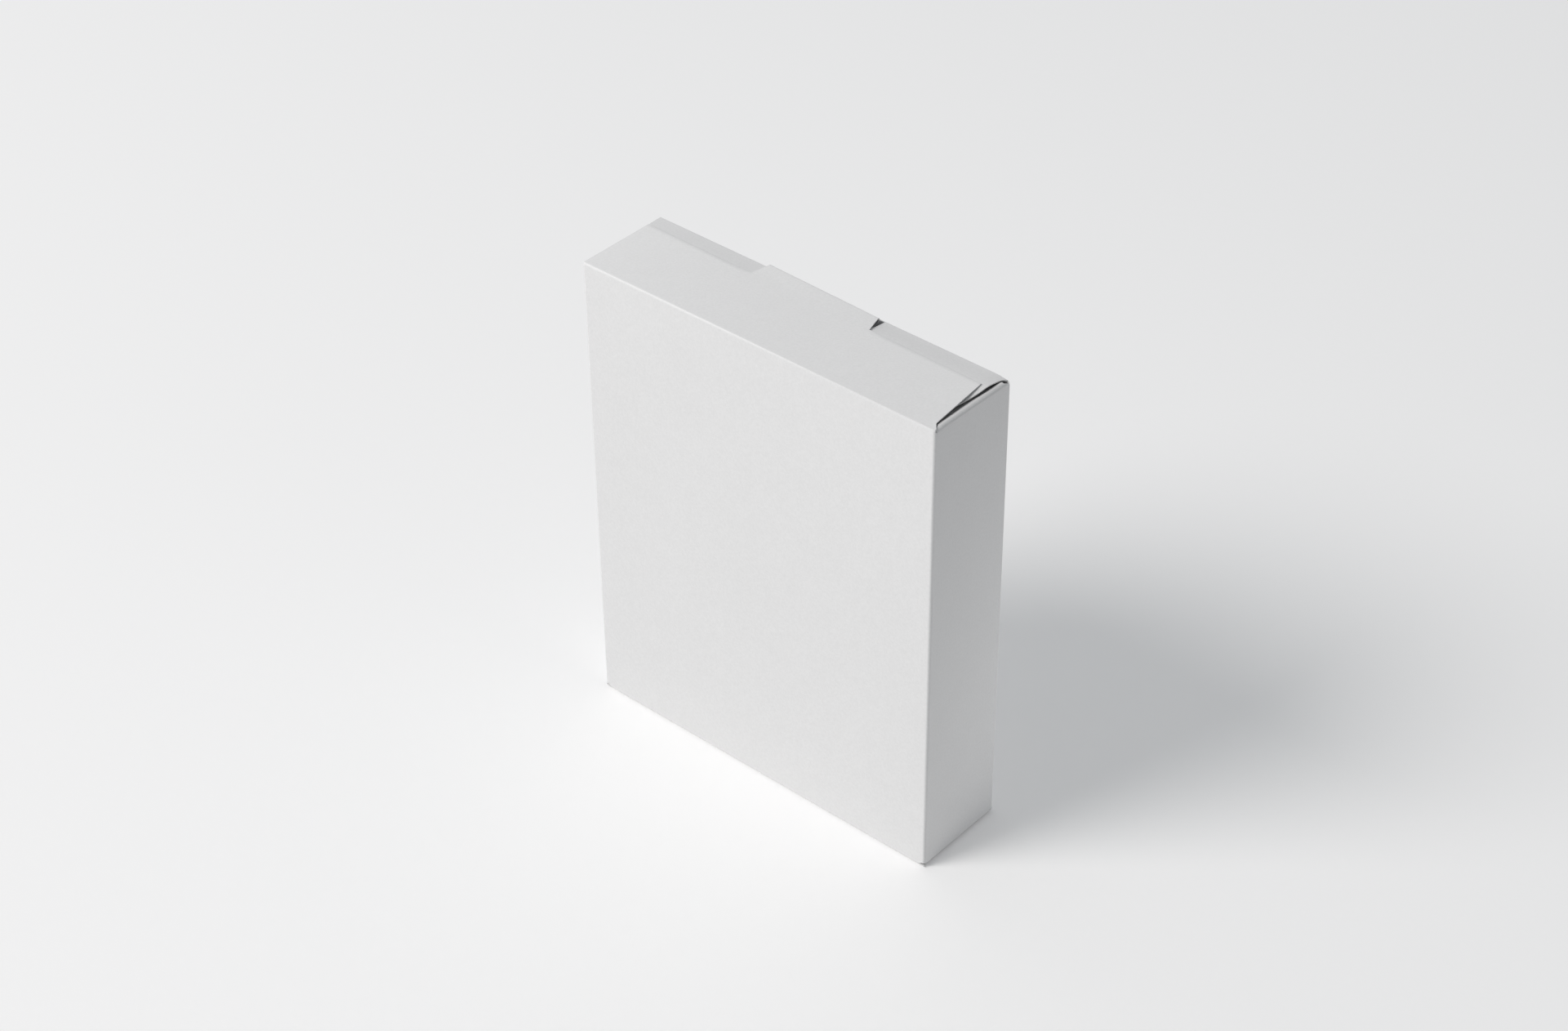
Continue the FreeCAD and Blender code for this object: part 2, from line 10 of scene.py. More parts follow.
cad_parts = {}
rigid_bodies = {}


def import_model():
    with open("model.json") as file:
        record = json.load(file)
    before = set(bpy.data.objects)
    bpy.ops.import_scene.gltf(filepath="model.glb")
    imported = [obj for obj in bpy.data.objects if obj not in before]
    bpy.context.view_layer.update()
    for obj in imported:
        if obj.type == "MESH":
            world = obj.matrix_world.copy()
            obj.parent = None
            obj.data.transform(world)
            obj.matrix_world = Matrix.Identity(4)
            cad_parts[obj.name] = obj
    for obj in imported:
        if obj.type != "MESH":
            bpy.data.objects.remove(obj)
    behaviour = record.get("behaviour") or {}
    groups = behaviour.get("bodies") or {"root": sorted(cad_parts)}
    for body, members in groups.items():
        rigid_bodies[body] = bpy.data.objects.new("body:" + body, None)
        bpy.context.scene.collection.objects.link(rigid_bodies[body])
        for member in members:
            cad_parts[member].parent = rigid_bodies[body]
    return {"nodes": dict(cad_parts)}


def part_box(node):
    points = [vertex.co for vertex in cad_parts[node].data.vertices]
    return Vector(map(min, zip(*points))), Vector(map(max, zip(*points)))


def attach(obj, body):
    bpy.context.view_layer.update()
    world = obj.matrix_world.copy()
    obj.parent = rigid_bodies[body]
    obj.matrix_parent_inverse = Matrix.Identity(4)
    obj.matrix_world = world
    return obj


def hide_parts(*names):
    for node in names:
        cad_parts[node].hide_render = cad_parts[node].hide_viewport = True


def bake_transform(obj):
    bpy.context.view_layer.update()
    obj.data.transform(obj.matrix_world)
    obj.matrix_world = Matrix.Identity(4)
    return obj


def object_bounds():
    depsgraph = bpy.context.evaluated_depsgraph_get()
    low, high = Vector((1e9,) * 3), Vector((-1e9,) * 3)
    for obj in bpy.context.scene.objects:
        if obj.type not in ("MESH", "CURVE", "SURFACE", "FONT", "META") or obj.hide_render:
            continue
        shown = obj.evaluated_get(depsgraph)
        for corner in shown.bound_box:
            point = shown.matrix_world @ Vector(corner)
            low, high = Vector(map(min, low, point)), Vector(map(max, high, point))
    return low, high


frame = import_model()
cad_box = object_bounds()

MM = 0.001
OUTSIDE, INSIDE, CUT = range(3)


def node_box(node):
    """A node's lowest and highest corner in millimetres."""
    low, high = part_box(node)
    return low / MM, high / MM


# Places read from the frame, in millimetres.
HALF_W = cad_box[1].x / MM
HALF_D = cad_box[1].y / MM
FRONT_LOW, FRONT_HIGH = node_box("front_panel")
BACK_LOW, BACK_HIGH = node_box("back_panel")
LEFT_HIGH = node_box("left_side_panel")[1]
RIGHT_LOW, RIGHT_HIGH = node_box("right_side_panel")
LID_FOLD_HIGH = node_box("front_flap_crease")[1]
SEAM_LOW, SEAM_HIGH = node_box("seam_flap")
BOARD = FRONT_HIGH.y - FRONT_LOW.y
CORNER_R = HALF_W - FRONT_HIGH.x
END_GAP = HALF_W - LID_FOLD_HIGH.x

# Folds: their radii, the depth of the line that the board bends about, the share of a fold's height
# at which its lip begins, and the shares of its turn over which painted shade sets in.
FOLD_R = 1.2
REAR_FOLD_R = 0.7
SIDE_FOLD_R = 1.5
HINGE_DEPTH = 0.15
LIP_SHARE = 0.78
SHADE_FROM, SHADE_FADE = 0.42, 0.25
LID_TOP = FRONT_HIGH.z + FOLD_R

# Dust flaps: slope in degrees, the fold's fall to the rear and its dip at the front, the outline with
# the slant of its sides in degrees, the bow beside the fold, the painted shade on the fold and the flap
# and how far it reaches, and how fast the fold narrows.
DUST_SLOPE = 22.0
DUST_TILT = 0.026
DUST_DIP, DUST_DIP_FROM, DUST_DIP_RUN = 0.38, -19.0, 4.5
DUST_FRONT, DUST_REAR = -21.2, 21.5
DUST_FRONT_SLANT, DUST_REAR_SLANT = 15.0, 38.0
DUST_LENGTH, DUST_CORNER = 24.0, 4.0
DUST_BOW, DUST_BOW_RUN = 0.75, 4.0
# Painted shade: darkens the fold's inner side and the flap beside it, where the lid's edge shades them.
DUST_SHADE, DUST_SHADE_RUN = 0.17, 9.0
DUST_TAPER = 1.5

# Rear flap's fold: the slit along it and the lip left below the slit, its ends, how far it sinks at
# the left and at the right, and how its right end droops.
SLIT_LEFT, SLIT_RIGHT = -34.4, 32.25
SLIT_LIP = BACK_HIGH.z
REAR_RISE = 0.4
REAR_TOP = SLIT_LIP + REAR_RISE
REAR_LEFT, REAR_END = -99.5, 98.4
SINK_LEFT, SINK_RIGHT = 0.2, 1.2
DROOP, DROOP_FROM, DROOP_POWER = 1.0, 91.0, 1.8

# Faces around and along a fold, and steps round a flat corner. A side wall has as many columns as
# the fold on it. Faces that meet at a wider angle than this one keep a crisp edge.
AROUND, ALONG = 14, 48
ROUND_STEPS = 6
SHARP_ANGLE = math.radians(35)


def mix(a, b, share):
    """The value at a share of the way from a to b."""
    return a + (b - a) * share


def smooth(share):
    """A share kept between 0 and 1, and eased at both."""
    share = min(max(share, 0.0), 1.0)
    return share * share * (3 - 2 * share)


def steps(low, high, count):
    """Even places from low to high."""
    return [mix(low, high, index / count) for index in range(count + 1)]


def graded(low, high, count):
    """Places from low to high that crowd towards both ends."""
    return [mix(low, high, (1 - math.cos(math.pi * index / count)) / 2) for index in range(count + 1)]


def always(value):
    """A function of a share that gives one value."""
    return lambda share: value


def ray(angle):
    """A direction in a flat section."""
    return Vector((math.cos(angle), math.sin(angle)))


def corner_inset(across):
    """How far a wall's rounded corner has turned in at a place across the wall."""
    over = min(max(abs(across) - (HALF_W - CORNER_R), 0.0), CORNER_R)
    return CORNER_R - math.sqrt(CORNER_R ** 2 - over ** 2)


def dust_sink(y):
    """How far a dust flap's fold lies below its middle: it falls to the rear and dips at the front."""
    return DUST_TILT * y + DUST_DIP * smooth((DUST_DIP_FROM - y) / DUST_DIP_RUN)


def rear_sink(x):
    """How far the rear flap's fold has sunk towards its right end."""
    return mix(SINK_LEFT, SINK_RIGHT, (x + HALF_W) / (2 * HALF_W))


def rear_droop(x):
    """How far the last of that fold bends down at the right corner."""
    return DROOP * max(0.0, (x - DROOP_FROM) / (HALF_W - DROOP_FROM)) ** DROOP_POWER


class Sheet:
    """A closed piece of board made of patches that share their edges."""

    def __init__(self):
        self.mesh = bmesh.new()
        # Each corner carries a share of painted shade that darkens the board's colour.
        self.painted_shade = self.mesh.verts.layers.float.new("painted_shade")
        self.known = {}
        self.twin = {}

    def point(self, place):
        """The corner at a place in millimetres, made once."""
        key = tuple(round(value, 4) for value in place)
        if key not in self.known:
            self.known[key] = self.mesh.verts.new(place * MM)
        return self.known[key]

    def pair(self, outer, inner):
        """A corner of the outside, kept with its twin on the inside."""
        top = self.point(outer)
        self.twin[top] = self.point(inner)
        return top

    def face(self, corners):
        """One face of the outside, and its twin on the inside."""
        kept = [corner for index, corner in enumerate(corners) if corner is not corners[index - 1]]
        if len(kept) < 3:
            return
        self.mesh.faces.new(kept).material_index = OUTSIDE
        under = [self.twin[corner] for corner in reversed(kept)]
        self.mesh.faces.new(under).material_index = INSIDE

    def patch(self, outer, inner):
        """A grid of faces through rows of places on the outside and on the inside."""
        rows = [[self.pair(*places) for places in zip(*pair)] for pair in zip(outer, inner)]
        for low, high in zip(rows, rows[1:]):
            for index in range(len(low) - 1):
                self.face((low[index], low[index + 1], high[index + 1], high[index]))

    def finish(self, name):
        """Closes the rim with cut edges and makes the object."""
        rim = [edge for edge in self.mesh.edges if edge.is_boundary and edge.verts[0] in self.twin
               and edge.verts[1] in self.twin]
        for edge in rim:
            a, b = edge.verts
            self.mesh.faces.new((a, b, self.twin[b], self.twin[a])).material_index = CUT
        bmesh.ops.recalc_face_normals(self.mesh, faces=self.mesh.faces)
        for face in self.mesh.faces:
            face.smooth = face.material_index != CUT
        mesh = bpy.data.meshes.new(name)
        self.mesh.to_mesh(mesh)
        self.mesh.free()
        mesh.set_sharp_from_angle(angle=SHARP_ANGLE)
        piece = bpy.data.objects.new(name, mesh)
        bpy.context.scene.collection.objects.link(piece)
        return piece


def rounded(points, radii):
    """An outline of flat places with some corners rounded; radii maps a corner's number to its radius."""
    outline = []
    for index, corner in enumerate(points):
        radius = radii.get(index)
        if not radius:
            outline.append(Vector(corner))
            continue
        here = Vector(corner)
        before = (Vector(points[index - 1]) - here).normalized()
        after = (Vector(points[(index + 1) % len(points)]) - here).normalized()
        half = before.angle(after) / 2
        reach = radius / math.tan(half)
        centre = here + (before + after).normalized() * (radius / math.sin(half))
        first = here + before * reach - centre
        last = here + after * reach - centre
        turn = first.angle_signed(last)
        for share in steps(0, 1, ROUND_STEPS):
            outline.append(centre + Matrix.Rotation(-turn * share, 2) @ first)
    return outline


def plate(name, outline, place, normal):
    """A flat piece of board; place turns a flat place into one on its outside."""
    sheet = Sheet()
    depth = normal * BOARD
    corners = [sheet.pair(place(*flat), place(*flat) - depth) for flat in outline]
    sheet.face(corners)
    return sheet.finish(name)


def fold(name, run, centre, radius, start, turn, low_end, high_end, sharp=None, lip=None,
         inset=None, sink=None, painted_shade=0.0):
    """A folded strip along axis run: round outside, with the bead of the score inside.

    start and turn are degrees about centre, low_end and high_end give the strip's ends at a share
    of the turn. At a share of the run, sharp gives how tight the fold is and lip how far it
    overhangs the wall that it starts from. At a place across, inset gives how far the strip's
    start turns in with the wall's corner, and sink how far the strip lies below its level.
    The last argument is how much painted shade darkens the strip at the end of its turn.
    """
    begin = math.radians(start)
    sweep = math.radians(turn)
    hinge = ray(begin + sweep / 2) * (radius - HINGE_DEPTH)
    first = ray(begin) * (radius - BOARD) - hinge
    last = ray(begin + sweep) * (radius - BOARD) - hinge
    bead_turn = -first.angle_signed(last)

    def place(section, share_run, share_turn):
        across = mix(low_end(share_turn), high_end(share_turn), share_run)
        side = section.x
        level = centre[1] + section.y
        if inset:
            side -= math.copysign(inset(across) * (1 - smooth(share_turn)), side)
        if sink:
            level -= sink(across)
        if run == "X":
            return Vector((across, centre[0] + side, level))
        return Vector((centre[0] + side, across, level))

    def outside(share_run, share_turn):
        section = ray(begin + sweep * share_turn) * radius
        if sharp:
            power = sharp(share_run)
            norm = (abs(section.x / radius) ** power + abs(section.y / radius) ** power) ** (1 / power)
            section = section / norm
        if lip:
            rise = abs(section.y) / radius
            if rise < LIP_SHARE:
                section.x -= math.copysign(lip(share_run) * rise / LIP_SHARE, section.x)
        return section

    sheet = Sheet()
    outer, inner = [], []
    turns = steps(0, 1, AROUND)
    shares = graded(0, 1, ALONG)
    for share_turn in turns:
        bead = hinge + Matrix.Rotation(bead_turn * share_turn, 2) @ first
        outer.append([place(outside(share, share_turn), share, share_turn) for share in shares])
        inner.append([place(bead, share, share_turn) for share in shares])
    sheet.patch(outer, inner)
    # Painted shade: darkens the strip towards the end of its turn.
    for share_turn, row in zip(turns, outer):
        for spot in row:
            sheet.point(spot)[sheet.painted_shade] = painted_shade * smooth((share_turn - SHADE_FROM) / SHADE_FADE)
    return sheet.finish(name)


# Walls: columns and rows of faces, how far from a corner the lower edge changes height, the share of
# a front corner over which the upper edge does, the step at the slit's ends, and the seam flap.
CORNER_COLUMNS, BACK_COLUMNS, FRONT_COLUMNS, SEAM_COLUMNS, WALL_ROWS = 10, 24, 32, 6, 24
FOOT_REACH = 1.5
HEAD_SHARE = 0.25
SLIT_STEP = 0.01
SEAM_TAPER, SEAM_GAP = 7.0, 0.02


def wall_wrap():
    """The four walls, the folds between them and the seam flap: one strip of board."""
    columns = []

    def straight(start, end, normal, count, low, high):
        for share in graded(0, 1, count):
            spot = mix(Vector(start), Vector(end), share)
            columns.append((spot, Vector(normal), low(share), high(share)))

    def corner(centre, radius, begin, low, high):
        for share in steps(0, 1, CORNER_COLUMNS):
            normal = ray(math.radians(begin - 90 * share))
            columns.append((Vector(centre) + normal * radius, normal, low(share), high(share)))

    def ramp(first, last, begin=0.0, end=1.0):
        return lambda share: mix(first, last, smooth((share - begin) / (end - begin)))

    def side_head(panel, first, last):
        return lambda share: panel.z - dust_sink(mix(first, last, share))

    def shoulder(middle, first, last, length):
        """A height that leaves its middle value close to each end."""
        def height(share):
            from_first = smooth(share * length / FOOT_REACH)
            from_last = smooth((1 - share) * length / FOOT_REACH)
            return middle + (first - middle) * (1 - from_first) + (last - middle) * (1 - from_last)
        return height

    flat_x = HALF_W - CORNER_R
    flat_y = HALF_D - CORNER_R
    foot = RIGHT_LOW.z
    seam_r = SEAM_LOW.x + HALF_W
    back_length = flat_x - BACK_LOW.x
    back_foot = shoulder(BACK_LOW.z, BACK_LOW.z, foot, back_length)
    front_foot = shoulder(FRONT_LOW.z, foot, foot, 2 * flat_x)
    right_rear = RIGHT_HIGH.z - dust_sink(flat_y)
    right_front = RIGHT_HIGH.z - dust_sink(-flat_y)
    left_front = LEFT_HIGH.z - dust_sink(-flat_y)
    left_rear = LEFT_HIGH.z - dust_sink(LEFT_HIGH.y)
    slit_ends = []
    for end in (SLIT_LEFT, SLIT_RIGHT):
        slit_ends += [end - SLIT_STEP, end + SLIT_STEP]
    for x in sorted(graded(BACK_LOW.x, flat_x, BACK_COLUMNS) + slit_ends):
        low = back_foot((x - BACK_LOW.x) / back_length)
        back_head = SLIT_LIP if SLIT_LEFT < x < SLIT_RIGHT else REAR_TOP - REAR_FOLD_R
        back_head = back_head - rear_sink(x) - rear_droop(x)
        columns.append((Vector((x, HALF_D)), Vector((0, 1)), low, back_head))
    corner((flat_x, flat_y), CORNER_R, 90, always(foot), ramp(back_head, right_rear))
    straight((HALF_W, flat_y), (HALF_W, -flat_y), (1, 0), ALONG, always(foot),
             side_head(RIGHT_HIGH, flat_y, -flat_y))
    corner((flat_x, -flat_y), CORNER_R, 0, always(foot), ramp(right_front, FRONT_HIGH.z, 0.0, HEAD_SHARE))
    straight((flat_x, -HALF_D), (-flat_x, -HALF_D), (0, -1), FRONT_COLUMNS, front_foot,
             always(FRONT_HIGH.z))
    corner((-flat_x, -flat_y), CORNER_R, 270, always(foot),
           ramp(FRONT_HIGH.z, left_front, 1 - HEAD_SHARE, 1.0))
    straight((-HALF_W, -flat_y), (-HALF_W, LEFT_HIGH.y), (-1, 0), ALONG, always(foot),
             side_head(LEFT_HIGH, -flat_y, LEFT_HIGH.y))
    corner((-HALF_W + seam_r, LEFT_HIGH.y), seam_r, 180, always(foot), always(left_rear))
    seam_run = SEAM_HIGH.x - SEAM_LOW.x
    for share in steps(0, 1, SEAM_COLUMNS):
        taper = SEAM_TAPER * share
        spot = Vector((SEAM_LOW.x + SEAM_GAP + seam_run * share, SEAM_HIGH.y))
        columns.append((spot, Vector((0, 1)), SEAM_LOW.z + taper, SEAM_HIGH.z - taper))

    sheet = Sheet()
    shares = graded(0, 1, WALL_ROWS)
    outer, inner = [], []
    for spot, normal, low, high in columns:
        behind = spot - normal * BOARD
        outer.append([Vector((spot.x, spot.y, mix(low, high, share))) for share in shares])
        inner.append([Vector((behind.x, behind.y, mix(low, high, share))) for share in shares])
    sheet.patch(outer, inner)
    return sheet.finish("wall_wrap")


# Lid: its tilt, which is less at the right, the relieved right side, the slightly skewed rear edge with
# its pressed rim, the neck of the tongue, the tongue's fold and the tuck that hangs from it.
LID_TILT = math.radians(2.5)
LID_TILT_RIGHT = math.radians(1.3)
LID_LEFT = -HALF_W + END_GAP
LID_RIGHT = HALF_W - END_GAP
LID_FOLD_Y = -HALF_D + FOLD_R
LID_FOLD_Z = LID_TOP - FOLD_R
LID_FRONT = LID_FOLD_Y - FOLD_R * math.sin(LID_TILT)
LID_BASE = LID_FOLD_Z + FOLD_R * math.cos(LID_TILT)
SHOULDER = Vector((96.8, -20.8))
LID_REAR_LEFT = Vector((-97.3, 15.0))
LID_REAR_RIGHT = Vector((94.0, 12.85))
NECK_LEFT, NECK_RIGHT = -35.4, 32.7
TONGUE_LEFT, TONGUE_RIGHT = -32.7, 30.3
PRESS_SHARE = 0.989
PRESS_DEPTH = 0.2
TONGUE_R = 1.0
TONGUE_BEAD = 0.12
TONGUE_MIDDLE_LEFT = Vector((23.5, 246.2))
TONGUE_MIDDLE_RIGHT = Vector((22.4, 245.3))
NECK_END_LEFT, NECK_END_RIGHT = math.radians(4.0), math.radians(0.5)
TUCK_LEAN = math.radians(10.0)
TUCK_LENGTH, TUCK_SLANT, TUCK_CORNER = 9.0, 3.0, 4.0
LID_COLUMNS, SHOULDER_ROWS, LID_ROWS = 12, 4, 18
NECK_COLUMNS, NECK_ROWS, TONGUE_ROWS = 16, 10, 12

# The lid's fold is round at the left, and at the right it is tight with a small lip.
TIGHT_LEFT, TIGHT_RIGHT, TIGHT_FROM, TIGHT_RUN = 2.4, 7.0, 0.35, 0.6
LIP_DEPTH, LIP_FROM, LIP_RUN = 0.1, 0.4, 0.5


def lid_tightness(share):
    """How tight the lid's fold is at a share of its run."""
    return mix(TIGHT_LEFT, TIGHT_RIGHT, smooth((share - TIGHT_FROM) / TIGHT_RUN))


def lid_lip(share):
    """How far the lid's fold overhangs the front panel at a share of its run."""
    return LIP_DEPTH * smooth((share - LIP_FROM) / LIP_RUN)


def lid_rear(x):
    """How far back the lid's rear edge lies at a place across."""
    share = (x - LID_REAR_LEFT.x) / (LID_REAR_RIGHT.x - LID_REAR_LEFT.x)
    return mix(LID_REAR_LEFT.y, LID_REAR_RIGHT.y, share)


def lid_tilt(x):
    """The lid is slightly twisted: it rises less at its right."""
    return mix(LID_TILT, LID_TILT_RIGHT, (x - LID_LEFT) / (LID_RIGHT - LID_LEFT))


def lid_height(x, y):
    """Height of the lid's upper face."""
    return LID_BASE + (y - LID_FRONT) * math.tan(lid_tilt(x))


def tongue_section(share):
    """Middle of the tongue's fold, and the angle at which the fold begins."""
    middle = mix(TONGUE_MIDDLE_LEFT, TONGUE_MIDDLE_RIGHT, share)
    return middle, math.pi / 2 + mix(NECK_END_LEFT, NECK_END_RIGHT, share)


def neck_point(share, along):
    """Place and slope on the neck at a share of its width and of its length, as a smooth curve."""
    across = mix(NECK_LEFT, NECK_RIGHT, share)
    base = lid_rear(across)
    middle, begin = tongue_section(share)
    first = Vector((base, lid_height(across, base)))
    last = middle + ray(begin) * TONGUE_R
    run = last.x - first.x
    rise = last.y - first.y
    slope_first = math.tan(lid_tilt(across))
    slope_last = math.tan(begin - math.pi / 2)
    square, cube = along ** 2, along ** 3
    height = (first.y + slope_first * run * (cube - 2 * square + along)
              + rise * (3 * square - 2 * cube) + slope_last * run * (cube - square))
    slope = (slope_first * (3 * square - 4 * along + 1) + rise / run * (6 * along - 6 * square)
             + slope_last * (3 * square - 2 * along))
    return first.x + run * along, height, math.atan(slope)


def lid():
    """The lid and the neck that rises from its rear edge, one sheet of board."""
    sheet = Sheet()
    width = LID_REAR_RIGHT.x - LID_REAR_LEFT.x
    base_left = (NECK_LEFT - LID_REAR_LEFT.x) / width
    base_right = (NECK_RIGHT - LID_REAR_LEFT.x) / width
    neck_part = steps(base_left, base_right, NECK_COLUMNS)
    across = steps(0, base_left, LID_COLUMNS) + neck_part[1:] + steps(base_right, 1, LID_COLUMNS)[1:]
    shoulder_share = (SHOULDER.y - LID_FRONT) / (LID_REAR_RIGHT.y - LID_FRONT)
    down = steps(0, shoulder_share, SHOULDER_ROWS)
    down += steps(shoulder_share, PRESS_SHARE, LID_ROWS)[1:] + [1.0]

    def right_edge(share):
        if share < shoulder_share:
            return mix(LID_RIGHT, SHOULDER.x, share / shoulder_share)
        return mix(SHOULDER.x, LID_REAR_RIGHT.x, (share - shoulder_share) / (1 - shoulder_share))

    def under(place, slope):
        return place - Vector((0, -math.sin(slope), math.cos(slope))) * BOARD

    outer, inner = [], []
    for share in down:
        row = []
        for column in across:
            rear = lid_rear(mix(LID_REAR_LEFT.x, LID_REAR_RIGHT.x, column))
            left = mix(LID_LEFT, LID_REAR_LEFT.x, share)
            y = mix(LID_FRONT, rear, share)
            x = mix(left, right_edge(share), column)
            row.append(Vector((x, y, lid_height(x, y))))
        inner.append([under(place, lid_tilt(place.x)) for place in row])
        if share == 1:
            free = [column < base_left or column > base_right for column in across]
            row = [place - Vector((0, 0, PRESS_DEPTH * loose)) for place, loose in zip(row, free)]
        outer.append(row)
    sheet.patch(outer, inner)

    outer, inner = [], []
    for along in steps(0, 1, NECK_ROWS):
        row, below = [], []
        for column in neck_part:
            share = (column - base_left) / (base_right - base_left)
            y, z, slope = neck_point(share, along)
            left = mix(NECK_LEFT, TONGUE_LEFT, along)
            right = mix(NECK_RIGHT, TONGUE_RIGHT, along)
            place = Vector((mix(left, right, share), y, z))
            row.append(place)
            below.append(under(place, slope))
        outer.append(row)
        inner.append(below)
    sheet.patch(outer, inner)
    return sheet.finish("lid")


def tongue_fold():
    """The fold from the neck down into the slit."""
    sheet = Sheet()
    outer, inner = [], []
    for turn in steps(0, 1, TONGUE_ROWS):
        row, under = [], []
        for share in steps(0, 1, NECK_COLUMNS):
            middle, begin = tongue_section(share)
            angle = mix(begin, -TUCK_LEAN, turn)
            x = mix(TONGUE_LEFT, TONGUE_RIGHT, share)
            out = middle + ray(angle) * TONGUE_R
            back = middle + ray(angle) * TONGUE_BEAD
            row.append(Vector((x, out.x, out.y)))
            under.append(Vector((x, back.x, back.y)))
        outer.append(row)
        inner.append(under)
    sheet.patch(outer, inner)
    return sheet.finish("tongue_fold")


def tongue_tuck():
    """The end of the tongue that hangs in the slit, with rounded lower corners."""
    width = TONGUE_RIGHT - TONGUE_LEFT
    corners = [(0, 0), (width, 0), (width - TUCK_SLANT, -TUCK_LENGTH), (TUCK_SLANT, -TUCK_LENGTH)]
    outline = rounded(corners, {2: TUCK_CORNER, 3: TUCK_CORNER})

    def place(along, down):
        middle = tongue_section(along / width)[0]
        root = middle + ray(-TUCK_LEAN) * TONGUE_R
        y = root.x + down * math.sin(TUCK_LEAN)
        z = root.y + down * math.cos(TUCK_LEAN)
        return Vector((TONGUE_LEFT + along, y, z))

    return plate("tongue_tuck", outline, place, Vector((0, math.cos(TUCK_LEAN), -math.sin(TUCK_LEAN))))


# Rear flap: it rises from its fold to a ridge under the lid's edge, then falls to its free end. At the
# ridge it has sunk by a share of what the fold has. Its edges are places from front to rear, each with
# its depth first.
STRIP_SLOPE = math.radians(5.5)
TAIL_SLOPE = math.radians(5.0)
STRIP_RUN = 10.6
RIDGE_R = 12.0
REAR_FOLD_Y = HALF_D - REAR_FOLD_R
REAR_FOLD_Z = REAR_TOP - REAR_FOLD_R
REAR_ROOT = REAR_FOLD_Y + REAR_FOLD_R * math.sin(STRIP_SLOPE)
REAR_ROOT_Z = REAR_FOLD_Z + REAR_FOLD_R * math.cos(STRIP_SLOPE)
REAR_FREE = -8.6
# Painted shade: darkens the whole rear flap and its folds a little, as they tilt away from the light.
REAR_SHADE = 0.045
RIDGE_Y, RIDGE_SINK = 14.0, 0.6
EAR_END = 12.4
SLIT_FRONT = 22.4
RIGHT_EDGE = ((REAR_FREE, 92.2), (-7.4, 93.3), (-3.7, 94.4), (2.3, 95.7), (6.4, 96.35), (10.9, 96.75),
              (15.8, 96.95), (20.7, 97.0), (22.6, 97.25), (23.8, 97.7), (REAR_ROOT, REAR_END))
LEFT_EDGE = ((REAR_FREE, -92.4), (-6.0, -93.6), (3.0, -94.4), (9.0, -95.8), (13.0, -97.4), (16.2, -98.3),
             (20.1, -98.95), (REAR_ROOT, REAR_LEFT))
NOTCH_LEFT = ((EAR_END, -34.1), (REAR_ROOT, SLIT_LEFT))
NOTCH_RIGHT = ((EAR_END, 32.0), (REAR_ROOT, SLIT_RIGHT))
MIDDLE_LEFT = ((EAR_END, -34.1), (SLIT_FRONT, -33.8))
MIDDLE_RIGHT = ((EAR_END, 32.0), (SLIT_FRONT, 31.7))
MIDDLE_SINK = 2.6
STRIP_FRONT = 15.2
SIDE_COLUMNS, MIDDLE_COLUMNS = 24, 10
TAIL_ROWS, RIDGE_ROWS, STRIP_ROWS = 16, 10, 24


def along_edge(edge, y):
    """Place across at a depth, on a smooth curve through the places of an edge."""
    for index, ((low, low_x), (high, high_x)) in enumerate(zip(edge, edge[1:])):
        if y > high:
            continue
        run = high - low
        share = (y - low) / run
        lead_y, lead_x = edge[max(index - 1, 0)]
        trail_y, trail_x = edge[min(index + 2, len(edge) - 1)]
        bend_low = (high_x - lead_x) / (high - lead_y) * run
        bend_high = (trail_x - low_x) / (trail_y - low) * run
        return (low_x + (high_x - low_x) * share ** 2 * (3 - 2 * share)
                + bend_low * share * (1 - share) ** 2 - bend_high * share ** 2 * (1 - share))
    return edge[-1][1]


def rear_height(y):
    """Height and slope of the rear flap's upper face at a depth; a positive slope rises forwards."""
    knee_y = REAR_ROOT - STRIP_RUN * math.cos(STRIP_SLOPE)
    knee_z = REAR_ROOT_Z + STRIP_RUN * math.sin(STRIP_SLOPE)
    if y >= knee_y:
        return REAR_ROOT_Z + (REAR_ROOT - y) * math.tan(STRIP_SLOPE), STRIP_SLOPE
    centre_y = knee_y - RIDGE_R * math.sin(STRIP_SLOPE)
    centre_z = knee_z - RIDGE_R * math.cos(STRIP_SLOPE)
    end_y = centre_y - RIDGE_R * math.sin(TAIL_SLOPE)
    if y >= end_y:
        slope = math.asin((y - centre_y) / RIDGE_R)
        return centre_z + RIDGE_R * math.cos(slope), slope
    end_z = centre_z + RIDGE_R * math.cos(TAIL_SLOPE)
    return end_z - (end_y - y) * math.tan(TAIL_SLOPE), -TAIL_SLOPE


